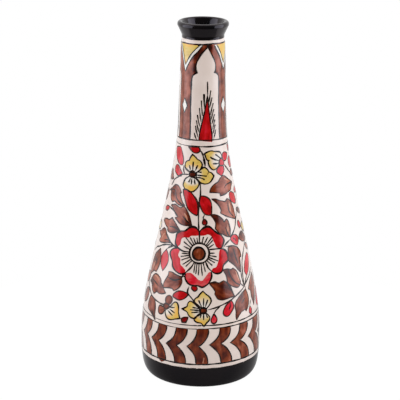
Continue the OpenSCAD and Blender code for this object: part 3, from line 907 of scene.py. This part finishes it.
# %% Stems, veins and stamens as single lines
STEMS = [
    [(-4.5, 217.5), (0.5, 214.5), (3.5, 211), (5.5, 206.5), (6.5, 203.2)],
    [(-25, 195.4), (-35, 195), (-43, 194), (-48, 192.2), (-55, 189.7), (-60.5, 187.9), (-64, 184.5),
        (-67, 181.5)],
    [(-35, 195.2), (-38, 198), (-40, 202.5)],
    [(-3.5, 190), (-2.3, 184), (-2.2, 178), (-3, 174), (-4.8, 168), (-4.8, 162), (-4.1, 152),
        (-3.3, 147)],
    [(49.5, 203.4), (55, 200.6), (61.7, 197), (67, 194.3), (72, 193)],
    [(-60, 163.2), (-52.8, 162), (-46, 160.3), (-40.5, 157.1)],
    [(5, 161.2), (2.8, 158.5), (2.5, 156.6)],
    [(68, 160), (64, 155.3), (59.5, 151.6), (56, 147), (50.5, 142.5), (41.7, 138)],
    [(-37, 131), (-44, 133), (-53, 137.4), (-56.7, 141)],
    [(-38, 130.8), (-48.3, 130.3), (-58.3, 128), (-65, 125.5), (-72, 123.5), (-80, 119)],
    [(-38, 130.3), (-45, 128.3), (-48.5, 126)],
    [(29.5, 130.5), (34, 133.5), (41.5, 136.5)],
    [(33, 131), (38.5, 130.6), (47, 130.3)],
    [(7.2, 76.7), (15, 78.1), (22.8, 80.1), (31.7, 82.6), (39.4, 85.6), (46, 88.1), (51.7, 90.6),
        (55, 92.6), (62.8, 96.3), (70.5, 99.5), (78, 104)],
    [(52.8, 92), (50.5, 93.5), (48.5, 95.5)],
    [(53.5, 92.4), (52, 99.5), (52, 105.5)],
    [(55, 93), (58.5, 96.5), (61.5, 99.8)],
    [(54, 92.5), (54.5, 103), (57, 113), (63, 120.5), (70, 125.5), (76, 129)],
    [(54.5, 92), (55.3, 90.5), (55.5, 88.5)],
    [(20, 78.8), (15.5, 75.8), (13, 72.6)],
    [(63, 77), (60.5, 74), (59.3, 71.5)],
    [(-12.8, 97.2), (-14.4, 92.6), (-12.8, 89.9), (-8.3, 85.8), (-5, 82.2), (-0.5, 79)],
    [(-39.4, 76.7), (-47.2, 77.2), (-55, 78.5), (-60.5, 79.9), (-65, 82.2), (-71, 87), (-76, 92)],
    [(14, 198.3), (12, 197), (11, 196)],
]
VEINS = [
    [(31.8, 81.3), (31.4, 78), (29.5, 74)],
    [(68, 185), (58, 185.2), (49, 184.5), (44, 182.5)],
    [(-51, 178), (-46, 172.5), (-36, 168.8), (-30, 167.8)],
    [(-65, 177.5), (-57, 179.3), (-50, 178)],
    [(-30.5, 158.5), (-25, 156), (-16, 151.5)],
    [(-33, 145.5), (-42, 146.8), (-52, 146.3)],
    [(-57, 133), (-50, 134.5)],
    [(46.7, 168.5), (47.5, 161), (56, 155)],
    [(36, 148), (38.5, 142.5), (41, 139)],
    [(-22, 103.5), (-31.5, 100.9), (-40, 102.3)],
    [(-70, 94.8), (-61, 94), (-52, 91.7)],
    [(44.5, 128), (47, 119), (49, 113)],
    [(33, 110.5), (36, 103), (42, 96.8), (48, 94.3)],
    [(46, 77.2), (52.2, 81.3)],
    [(47, 137), (50, 135.3), (52, 133)],
]
STAMENS = [
    [(-26, 203.8), (-23, 199.3)], [(-18, 207.2), (-18.5, 199)], [(-8.5, 204.3), (-13.5, 199)],
    [(-0.5, 198.2), (-9, 198)], [(9.5, 194.6), (-10, 195.6)], [(5.5, 191.5), (-1, 193), (-10, 193.6)],
    [(-25, 188.4), (-21.5, 192.3)], [(-19.5, 187), (-18.8, 192.3)], [(-12, 187.2), (-14.5, 192.3)],
    [(29.5, 213.4), (43, 208.8)], [(17.2, 211.5), (24, 209.5), (38, 207)], [(22.8, 205.2), (37, 204.8)],
    [(-2.2, 85.4), (1.1, 79.2)], [(3, 87.2), (2.8, 78.8)], [(7.2, 85.8), (4.4, 79)],
    [(-8.3, 78.8), (-0.5, 77.6)], [(-10.5, 76.5), (-0.5, 76.3)], [(-9.4, 74), (-0.7, 75)],
    [(3, 67.6), (2.8, 73.6)], [(7, 69.5), (5, 73.4)], [(-0.5, 69.5), (1, 73.4)],
    [(-27.2, 76.7), (-33, 75.8)], [(-26.7, 71.7), (-33, 74.5)], [(-28.9, 69), (-35, 73)],
]

# %% Heavy strokes over the lines, and dry streaks in the leaves, each with its width
HEAVY = [
    (2.1, [(-4.5, 217.8), (-1, 215.8), (1.5, 213.8), (3, 211.5)]),
    (1.6, [(13, 208), (15, 208.3), (17, 208.5)]),
    (2.8, [(2.5, 212.5), (4.5, 209), (6.5, 203.5)]),
    (2.5, [(5, 214.4), (7, 212.3), (9.5, 209.6), (13.5, 207.6)]),
    (1.9, [(19, 197.2), tip(23.5, 194.5), (20.5, 192)]),
    (1.9, [(-0.5, 198.3), (-8, 198.1)]),
    (1.8, [(-17, 179), (-11.7, 176), (-8, 173), (-5.5, 169.5), (-5, 165), (-6.5, 160.3)]),
    (2.4, [(-14.5, 151), (-21, 151.5)]),
    (1.9, [(6.7, 155.9), (8, 154), (7, 152.3)]),
    (2.4, [(-12.5, 69), (-13.8, 66), (-15.5, 64.6)]),
    (2.3, [(-57.5, 67), (-54.5, 63.8), (-51.5, 60.8)]),
    (1.8, [(9.5, 100.3), (15, 101), (20.5, 99.8)]),
    (1.9, [(-20, 148), (-12.8, 149.9), (-7, 149), (-3, 146)]),
    (1.9, [(-2, 146), (0.5, 148), (7.2, 150.3), (12.8, 149.5), (17.2, 147)]),
    (1.8, [(-17.5, 102.8), (-18.4, 105.5), (-22, 105)]),
    (1.8, [(-42, 131.6), (-37, 130.8), (-31.5, 130.2)]),
    (1.7, [(26, 101.4), (30, 99), (33, 95.4), (36.5, 88), (38.3, 85.8)]),
]
LIGHTS = [
    (2.6, [(50, 168.5), (51, 164), (51.5, 160)]),
    (2.2, [(40.5, 150.5), (40.5, 147), (39.5, 143.5)]),
    (2.8, [(43.5, 107.5), (46, 103), (46.8, 97.5)]),
    (2.6, [(-62, 99.5), (-56, 98.5), (-53, 96.5)]),
    (2.4, [(-68, 111), (-69.5, 107), (-71, 102.5)]),
    (2.4, [(-27, 161), (-23, 157.5), (-20, 154)]),
    (2.2, [(-58, 139), (-62, 136.5), (-64, 133.5)]),
    (2.4, [(56, 188), (50, 189.5), (46, 190.5)]),
]
# A dry streak in one chevron; at the back it is turned to the middle of another chevron
DRY_STREAK, STREAK_TURNS = [(3.5, 32), (3, 29), (2.5, 26.5)], (0, 194)

# %% Painting the field, front and back
FIELD_TURNS = (0.0, 180.0)
# Widths of the lines; a bud that starts further round than SIDE has a finer one
BUD_LINE, SIDE_BUD_LINE, SIDE = 1.15, 0.85, 37
LEAF_LINE, PETAL_LINE, EYE_LINE, STEM_LINE, VEIN_LINE, DRY_LINE = 1.05, 1.3, 1.2, 1.3, 1.2, 2.0
# Stamens are stouter in the flowers above this height
STOUT, FINE, HIGH_FLOWERS = 1.4, 1.25, 150
RIM_LINE, SEAM_LINE, HEART_LINE, RING_LINE, SPOKE_LINE, LOW_SPOKE_LINE = 1.5, 1.4, 1.8, 1.6, 1.15, 1.05


def disc(middle, r):
    """Circle of radius r on the wall as eight points round its middle."""
    turn = np.radians(np.arange(0, 360, 45))
    wide = np.degrees(r / radius(middle[1]))
    return [(middle[0] + wide * c, middle[1] + r * s) for c, s in zip(np.cos(turn), np.sin(turn))]


def paint_big_flower(turn):
    """Five petals, the seams between them, a double eye, and spokes from the outer ring."""
    for (rim, heart_side), tone in zip(FLOWER, PETAL_TONES):
        band("big_flower_red", rim, heart_side, tone, turn)
        line("big_flower_lines", rim, RIM_LINE, turn=turn, taper=BLUNT)
    for seam in SEAMS:
        line("big_flower_lines", seam, SEAM_LINE, turn=turn, taper=(0.8, 0.6))
    fill("eyes", disc(HEART, EYE_R), tone=0.15, turn=turn)
    line("big_flower_lines", disc(HEART, EYE_LINE_R), HEART_LINE, closed=True, turn=turn)
    line("big_flower_lines", disc(HEART_RING, RING_R), RING_LINE, closed=True, turn=turn)
    for end in SPOKES:
        way = np.subtract(HEART_RING, end)
        inner = RING_R / np.hypot(np.radians(way[0]) * radius(HEART[1]), way[1])
        spoke = [end, tuple(HEART_RING - inner * way)]
        line("big_flower_lines", spoke, SPOKE_LINE, turn=turn, taper=(0.8, 0.9))
    for spoke in LOW_SPOKES:
        line("big_flower_lines", spoke, LOW_SPOKE_LINE, turn=turn, taper=(0.6, 1.0))


for turn, streak_turn in zip(FIELD_TURNS, STREAK_TURNS):
    for tone, outline in BUDS:
        fill("red_buds", outline, tone, turn)
        width = BUD_LINE if abs(outline[0][0]) < SIDE else SIDE_BUD_LINE
        line("bud_lines", outline, width, closed=True, turn=turn)
    for tone, roots, outline in LEAVES:
        fill("brown_leaves", outline, tone, turn, roots=roots)
        line("leaf_lines", outline, LEAF_LINE, closed=True, turn=turn)
    for root, outline in PETALS:
        fill("yellow_petals", outline, hand.uniform(*YELLOW_TONES), turn, roots=[root])
        line("petal_lines", outline, PETAL_LINE, closed=True, turn=turn)
    for angle, z, r in EYES:
        fill("eyes", disc((angle, z), r), tone=0.25, turn=turn, lift=OVER_LIFT)
        line("petal_lines", disc((angle, z), r), EYE_LINE, closed=True, turn=turn)
    for stem in STEMS:
        line("stem_lines", stem, STEM_LINE, turn=turn)
    for width, stroke in HEAVY:
        line("stem_lines", stroke, width, turn=turn)
    for width, streak in LIGHTS:
        line("leaf_lights", streak, width, turn=turn, lift=OVER_LIFT)
    line("leaf_lights", DRY_STREAK, DRY_LINE, turn=streak_turn, lift=OVER_LIFT)
    for vein in VEINS:
        line("stem_lines", vein, VEIN_LINE, turn=turn)
    for stamen in STAMENS:
        width = STOUT if stamen[0][1] > HIGH_FLOWERS else FINE
        line("stem_lines", stamen, width, turn=turn, taper=(0.9, 0.5))
    paint_big_flower(turn)
print("motifs each side:", len(BUDS) + len(LEAVES) + len(PETALS) + len(FLOWER))

# %% [markdown]
# ## The arcade on the neck
# Three pointed arches stand round the neck, with a cypress in each panel. The brown between two
# arches is one wide stroke, from the right side of one arch to the left side of the next. White
# diamonds and yellow corner pieces lie on it. An Array modifier could repeat one arch, but the
# spaces between them differ, so each arch is set at an angle of its own.

# %% Arches
ARCH_MIDDLES = (7.0, 112.0, 256.5)
PILLAR_TONES = (0.0, 0.1, 0.14)
# Widths of the lines on an arch's right and left side, and of the heavy stroke over its point
RIGHT_LINE, LEFT_LINE, POINT_LINE = 1.0, 1.45, 1.5
ARCH_FOOT, COLLAR = ring_z["neck_top"] - 0.4, ring_z["collar"]
# Degrees from the arch's middle and height, from the foot up to the point
ARCH_LEFT = [
    (-36, ARCH_FOOT), (-36.5, 245), (-37, 262), (-36, 275), (-35.5, 280), (-33.5, 283.4), (-28, 285.8),
    tip(-21.5, 287.1), (-24.2, 289), (-24.8, 292), (-23.3, 295.5), (-19, 299), (-12, 303.2),
    (-1.8, 307.2), tip(5, 309.8), (5.3, COLLAR),
]
ARCH_RIGHT = [
    (36.5, ARCH_FOOT), (36, 245), (35.5, 262), (36.3, 275), (36.5, 280), (34.5, 284), (30, 286),
    tip(23, 287.1), (26, 288.5), (27.3, 291.3), (26.7, 294.5), (23, 298.3), (16.2, 303), (9, 307.4),
    tip(5, 309.8), (5.3, COLLAR),
]
# Where the brown runs thin, right of the arch, and the heavy stroke over its point
THIN_BROWN = [
    (14.5, 306.3), (18.5, 303), (24.3, 298.5), (28, 294.5), (28.6, 291), (28.5, 288.3), (37, 286.5),
    (46, 290.5), (47, 293), (42, 296.5), (35, 301.8), (27.5, 306.5), (20, 308.5),
]
HEAVY_BLACK = [(-21, 311), (-11, 311.8), (1, 312.1), (12, 312.2), (17, 311.7)]
# Where the brush was fullest, from the arch's own middle: angle, height, inner and outer distance
FULL_AFTER, FULL_BEFORE = [(8, 309.5, 1.5, 4.5)], [(-10, 302, 4, 13), (-25, 291.5, 2.5, 6.5)]
FULL_IN_THIN = [(13, 307, 1, 4)]


def beside(middle, points):
    """Points given from an arch's middle, set at that middle."""
    return [(middle + angle, *rest) for angle, *rest in points]


for number, middle in enumerate(ARCH_MIDDLES):
    following = (*ARCH_MIDDLES, ARCH_MIDDLES[0] + 360)[number + 1]
    left, right = beside(middle, ARCH_RIGHT), beside(following, ARCH_LEFT)
    full_brush = beside(middle, FULL_AFTER) + beside(following, FULL_BEFORE)
    band("neck_wash", left, right, PILLAR_TONES[number], roots=full_brush)
    line("neck_lines", left, RIGHT_LINE, taper=BLUNT)
    line("neck_lines", right, LEFT_LINE, taper=BLUNT)
    thin, full_in_thin = beside(middle, THIN_BROWN), beside(middle, FULL_IN_THIN)
    fill("neck_wash", thin, tone=0.4, lift=FILL_LIFT + CROSSING, roots=full_in_thin)
    line("neck_lines", beside(middle, HEAVY_BLACK), POINT_LINE)
print("arches:", len(ARCH_MIDDLES))

# %% Corner pieces and diamonds between the arches
# The point's angle and height, and how far the piece reaches left and right under the collar
SPANDRELS = [(63.5, 288, 38.5, 94), (184, 287.5, 147, 221), (310.5, 286.8, 290, 351.5)]
# How much higher the yellow ends than the white, and its wash: height of the root, near and far
YELLOW_RISE, YELLOW_WASH = 6, (250, 1, 62)
# Widths of the lines, and steps of a side between two of its points
CORNER_LINE, DIAMOND_LINE, CORNER_STEPS = 1.05, 0.9, 40
# Share of the reach, degrees more and height, from the collar down
INNER_SIDE = [(1, 0, 311.3), (0.75, 0, 307.9), (0.48, 0, 303.7), (0.25, 0, 298.9)]
OUTER_SIDE = [(1, 8, 311.3), (0.75, 5, 305.5), (0.45, 5, 301), (0.2, 5, 295.7)]
# Angle, height and size of each diamond, and its outline
DIAMONDS = [(60.3, 256.6, 1.1), (184, 256.3, 1), (311.7, 256.4, 1)]
DIAMOND = [
    tip(0, 6.7), (5.3, 2.7), (8.2, 0), (5.3, -2.7), tip(0, -6.7), (-5.3, -2.7), (-8.2, 0), (-5.3, 2.7),
]


def corner_piece(apex, low, left, right, side):
    """Triangle on its point: each side is the apex plus a share of the reach and some degrees more."""
    down = [(apex - share * (apex - left) - more, z) for share, more, z in side]
    up = [(apex + share * (right - apex) + more, z) for share, more, z in side[::-1]]
    return [tip(*down[0]), *down[1:], tip(apex, low), *up[:-1], tip(*up[-1])]


for apex, low, left, right in SPANDRELS:
    yellow = corner_piece(apex, low + YELLOW_RISE, left, right, INNER_SIDE)
    white = corner_piece(apex, low, left, right, OUTER_SIDE)
    fill("neck_white", white, tone=0.5, lift=OVER_LIFT, steps=CORNER_STEPS)
    root = (apex, *YELLOW_WASH)
    fill("neck_yellow", yellow, tone=0.5, lift=OVER_LIFT + CROSSING, roots=[root], steps=CORNER_STEPS)
    point = len(INNER_SIDE)
    for edge in (yellow, white):
        line("neck_lines", edge[:point + 1], CORNER_LINE)
        line("neck_lines", edge[point:], CORNER_LINE)
for angle, z, size in DIAMONDS:
    shape = [(angle + size * across, z + size * up, *corner) for across, up, *corner in DIAMOND]
    fill("neck_white", shape, tone=0.6, lift=OVER_LIFT)
    line("neck_lines", shape, DIAMOND_LINE, closed=True)
print("corner pieces:", len(SPANDRELS), "diamonds:", len(DIAMONDS))

# %% Cypresses
CYPRESS_LINE, NEEDLE_LINE, FIRST_NEEDLE_LINE = 1.2, 1.1, 1.6
CYPRESS_LEFT = [
    (-7.5, 226.3), (-6, 233), (-2, 240.5), (1.5, 246), (5, 252), (8.2, 258), (10.5, 263), tip(12, 266.5),
]
CYPRESS_RIGHT = [
    (22.5, 224.8), (23.2, 231), (20.5, 239), (18, 247), (15.5, 254), (14, 260), (13, 264), tip(12, 266.5),
]
NEEDLES = [
    [(3.5, 268.3), (4, 262), (5.3, 254.5)], [(12, 279.3), (12.2, 272), (12.3, 266)],
    [(-2.8, 262.5), (-1.7, 256), (0.5, 248.5)], [(-7.3, 255.7), (-5.8, 250.5), (-2.8, 243)],
    [(-12, 249.4), (-9.7, 244.5), (-6, 239)], [(-14.2, 244.4), (-11.8, 239.5), (-8, 234)],
    [(-16.4, 239.5), (-13.7, 234.5), (-9.6, 229)], [(-18.8, 233), (-15.8, 229.3), (-11.5, 226.3)],
    [(20.5, 271.2), (18, 266), (16.3, 261)], [(23.5, 264.9), (20.3, 260.5), (17, 255.5)],
    [(26.5, 259.6), (23, 255), (19.5, 249)], [(28.3, 254.2), (25, 250.5), (21.5, 245)],
    [(30.2, 249.5), (27, 246), (23.5, 241)], [(31, 244.8), (28, 240.7), (25, 236)],
    [(31.6, 240), (29, 236.3), (26.2, 232)], [(33.2, 235.5), (30.5, 231.5), (27.3, 227.5)],
]
for middle in ARCH_MIDDLES:
    turn = middle - ARCH_MIDDLES[0]
    band("cypress_red", CYPRESS_LEFT, CYPRESS_RIGHT, tone=0.35, turn=turn)
    for edge in (CYPRESS_LEFT, CYPRESS_RIGHT):
        line("neck_lines", edge, CYPRESS_LINE, turn=turn, taper=BLUNT)
    for number, needle in enumerate(NEEDLES):
        width = NEEDLE_LINE if number else FIRST_NEEDLE_LINE
        line("neck_lines", needle, width, turn=turn, taper=(1.0, 0.35))
print("cypresses:", len(ARCH_MIDDLES))

# %% [markdown]
# ## From palette to pieces
# The black foot gets the uneven edge that a brush leaves, and then the painting is done. So far its
# films lie in heaps, one heap for each kind of paint. Every film could be an object of its own, but
# hundreds of objects are hard to handle, so each heap becomes one piece with one finish.

# %% The uneven edge of the black foot
ring(foot_band_z - 0.35, lean=0.3, towards=55, width=1.0, dry=180, phase=2.0)

# %% Lifting the paint off the palette
PAINTS = {
    "red_buds": crimson, "big_flower_red": crimson, "cypress_red": crimson,
    "brown_leaves": umber, "chevron_wash": umber, "neck_wash": umber, "eyes": umber,
    "leaf_lights": tan, "yellow_petals": mustard, "neck_yellow": mustard, "neck_white": white_slip,
    "leaf_lines": line_brown, "bud_lines": line_brown,
}
for name, films in palette.items():
    points, quads, brush, wash = zip(*films)
    starts = np.cumsum([0] + [len(film) for film in points[:-1]])
    quads = [film + start for film, start in zip(quads, starts)]
    points, quads, brush, wash = (np.concatenate(heap) for heap in (points, quads, brush, wash))
    piece = make_piece(name, points, quads, PAINTS.get(name, line_black), brush, wash)

# %% [markdown]
# ## Clay, slip and lining
# The solids under the glaze keep their own meshes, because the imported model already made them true.
# Only the foot ring, the recess and the inside are ever seen: bare clay is matte and gritty, the slip
# is finer, and the lining is a clear glaze. One function makes all three, with other numbers.


# %% Finishes of the solids
def make_clay(name, low, high, grain, roughness, depth):
    """Fired clay: clouds of two tones, with a gritty bump."""
    material, tree, shader = new_finish(name, roughness)
    colour = ramp(tree, object_noise(tree, grain, detail=6.0), [(0.35, low), (0.7, high)])
    tree.links.new(colour, shader.inputs["Base Color"])
    soft_bump(tree, shader, object_noise(tree, grain * 6, detail=4.0), strength=0.5, distance=depth)
    return material


bare_clay = make_clay(
    "bare_clay", (0.55, 0.44, 0.33), (0.74, 0.62, 0.49), grain=220.0, roughness=0.85, depth=0.0003
)
joint_slip = make_clay(
    "joint_slip", (0.66, 0.56, 0.45), (0.78, 0.69, 0.58), grain=320.0, roughness=0.75, depth=0.0001
)
clear_lining = make_clay(
    "clear_lining", (0.70, 0.62, 0.51), (0.80, 0.74, 0.64), grain=120.0, roughness=0.2, depth=0.0001
)
for name, solid in nodes.items():
    finish = clear_lining if name == "lining_glaze" else joint_slip if name.endswith("slip") else bare_clay
    solid.data.materials.clear()
    solid.data.materials.append(finish)
print("finishes on", len(nodes), "solids")

# %% [markdown]
# ## Studio
# Glaze mirrors what stands round it, so the lamps matter as much as the finish. Two soft lamps stand
# left and right of the front, and a white backdrop wraps round behind. The front is left dark, so the
# glaze keeps deep colour in the middle and gets a pale sheen at the sides. The fills add light
# without a reflection. The floor is white and still takes a faint shadow. The camera looks down a
# little, from about four heights away, through a long lens that keeps the sides almost parallel.

# %% White floor
BOARD_R, BOARD_CORNERS = 0.3, 72
# Strength of the floor's glow, and how much of it the camera and the vase get
FLOOR_GLOW, CAMERA_SHARE, BOUNCE_SHARE = 1.15, 0.85, 0.3


def make_floor_finish():
    """White floor. For the camera most of it glows white and the rest takes the shadow; it throws
    some light up at the vase, and for reflections the part behind the vase glows as the backdrop does."""
    material, tree, shader = new_finish("white_floor", roughness=0.9)
    # The floor's own colour is a dark grey, so the glaze mirrors a dark floor near the vase: painted shade in
    # the reflections.
    shader.inputs["Base Color"].default_value = (0.2, 0.2, 0.2, 1)
    glow = add(tree, "ShaderNodeEmission", [("Color", (1, 1, 1, 1)), ("Strength", FLOOR_GLOW)])
    ray = add(tree, "ShaderNodeLightPath").outputs
    place = parts_of(tree, place_on(tree))
    # Painted reflection: for glossy rays the floor glows behind the vase, brighter to the left and near the
    # vase, like a lit table seen in the glaze.
    behind = rescale(tree, place["Y"], -0.05, 0.06, 0.0, 1.0)
    leftward = rescale(tree, place["X"], -0.1, 0.1, 0.9, 0.4)
    near = rescale(tree, maths(tree, "ABSOLUTE", place["X"]), 0.06, 0.2, 1.0, 0.5)
    painted_sheen = maths(tree, "MULTIPLY", maths(tree, "MULTIPLY", leftward, near), behind)
    mirrored = maths(tree, "MULTIPLY", ray["Is Glossy Ray"], painted_sheen)
    bounced = maths(tree, "MULTIPLY_ADD", ray["Is Diffuse Ray"], BOUNCE_SHARE, mirrored)
    share = maths(tree, "MULTIPLY_ADD", ray["Is Camera Ray"], CAMERA_SHARE, bounced)
    mixed = add(tree, "ShaderNodeMixShader", [(0, share), (1, shader.outputs[0]), (2, glow.outputs[0])])
    tree.links.new(mixed.outputs[0], tree.nodes["Material Output"].inputs["Surface"])
    return material


floor_mesh = bpy.data.meshes.new("floor")
rim_angles = -np.arange(BOARD_CORNERS) * 360.0 / BOARD_CORNERS
board_rim = on_axis(rim_angles, BOARD_R, np.zeros(BOARD_CORNERS))
floor_mesh.from_pydata(board_rim.tolist(), [], [list(range(BOARD_CORNERS))])
floor_mesh.materials.append(make_floor_finish())
floor = bpy.data.objects.new("floor", floor_mesh)
bpy.context.scene.collection.objects.link(floor)
print("floor radius in metres:", BOARD_R)

# %% Lamps
DAYLIGHT, WHITE, WARM = (0.77, 0.87, 1.0), (1, 1, 1), (1.0, 0.965, 0.92)
# Place and aim in metres, width and height, power, colour, whether the glaze mirrors it, and lean
LAMPS = {
    "left_softbox": ((-0.95, -0.33, 0.685), (0, -0.33, 0.685), (1.05, 1.43), 8.4, DAYLIGHT, True, 0),
    "right_softbox": ((0.95, -0.195, 0.685), (0, -0.195, 0.685), (0.93, 1.43), 8.0, DAYLIGHT, True, -12),
    "left_fill": ((-0.95, 0.1, 0.25), (0, 0.1, 0.1), (1.2, 1.2), 2.2, WHITE, False, 0),
    "right_fill": ((0.95, 0.1, 0.25), (0, 0.1, 0.1), (1.2, 1.2), 3.4, WHITE, False, 0),
    "front_fill": ((0, -1.3, 1.0), (0, 0, 0.15), (1.4, 0.7), 14.4, WARM, False, 0),
}


def put(name, data, place, aim, roll):
    """Puts a lamp or camera at a place, facing an aim point and rolled about its own line of sight."""
    holder = bpy.data.objects.new(name, data)
    holder.location = place
    facing = (Vector(aim) - Vector(place)).to_track_quat("-Z", "Y").to_matrix()
    holder.rotation_euler = (facing @ Matrix.Rotation(radians(roll), 3, "Z")).to_euler()
    bpy.context.scene.collection.objects.link(holder)
    return holder


for name, (place, aim, size, power, colour, mirrored, lean) in LAMPS.items():
    lamp = bpy.data.lights.new(name, "AREA")
    lamp.shape = "RECTANGLE"
    lamp.size, lamp.size_y = size
    lamp.energy, lamp.color = power, colour
    put(name, lamp, place, aim, lean).visible_glossy = mirrored
print("lamps:", ", ".join(LAMPS))

# %% Backdrop
# For reflections it fades from the first strength to the second over a range of Y, towards the back
FRONT_GLOW, BACK_GLOW, FADE_START, FADE_END = 0.03, 0.85, -0.45, 0.1
world = bpy.data.worlds.new("studio")
bpy.context.scene.world = world
world.use_nodes = True
sky = world.node_tree
background = sky.nodes["Background"]
outlook = parts_of(sky, add(sky, "ShaderNodeTexCoord").outputs["Generated"])
backdrop = rescale(sky, outlook["Y"], FADE_START, FADE_END, FRONT_GLOW, BACK_GLOW)
camera_ray = add(sky, "ShaderNodeLightPath").outputs["Is Camera Ray"]
background.inputs["Color"].default_value = (1, 1, 1, 1)
sky.links.new(maths(sky, "MAXIMUM", camera_ray, backdrop), background.inputs["Strength"])
print("backdrop:", world.name)

# %% Camera
CAMERA_PLACE = Vector((-1.475, -1354.3, 574.95)) * MM
CAMERA_AIM = Vector((-1.475, 0.0, 164.32)) * MM
CAMERA_ROLL = 0.5
SENSOR_WIDE, LENS_LENGTH = 36.0, 139.4
lens = bpy.data.cameras.new("camera")
lens.sensor_width, lens.lens = SENSOR_WIDE, LENS_LENGTH
bpy.context.scene.camera = put("camera", lens, CAMERA_PLACE, CAMERA_AIM, CAMERA_ROLL)
bpy.context.scene.view_settings.view_transform = "Standard"
print(f"camera {(CAMERA_AIM - CAMERA_PLACE).length:.2f} m away")
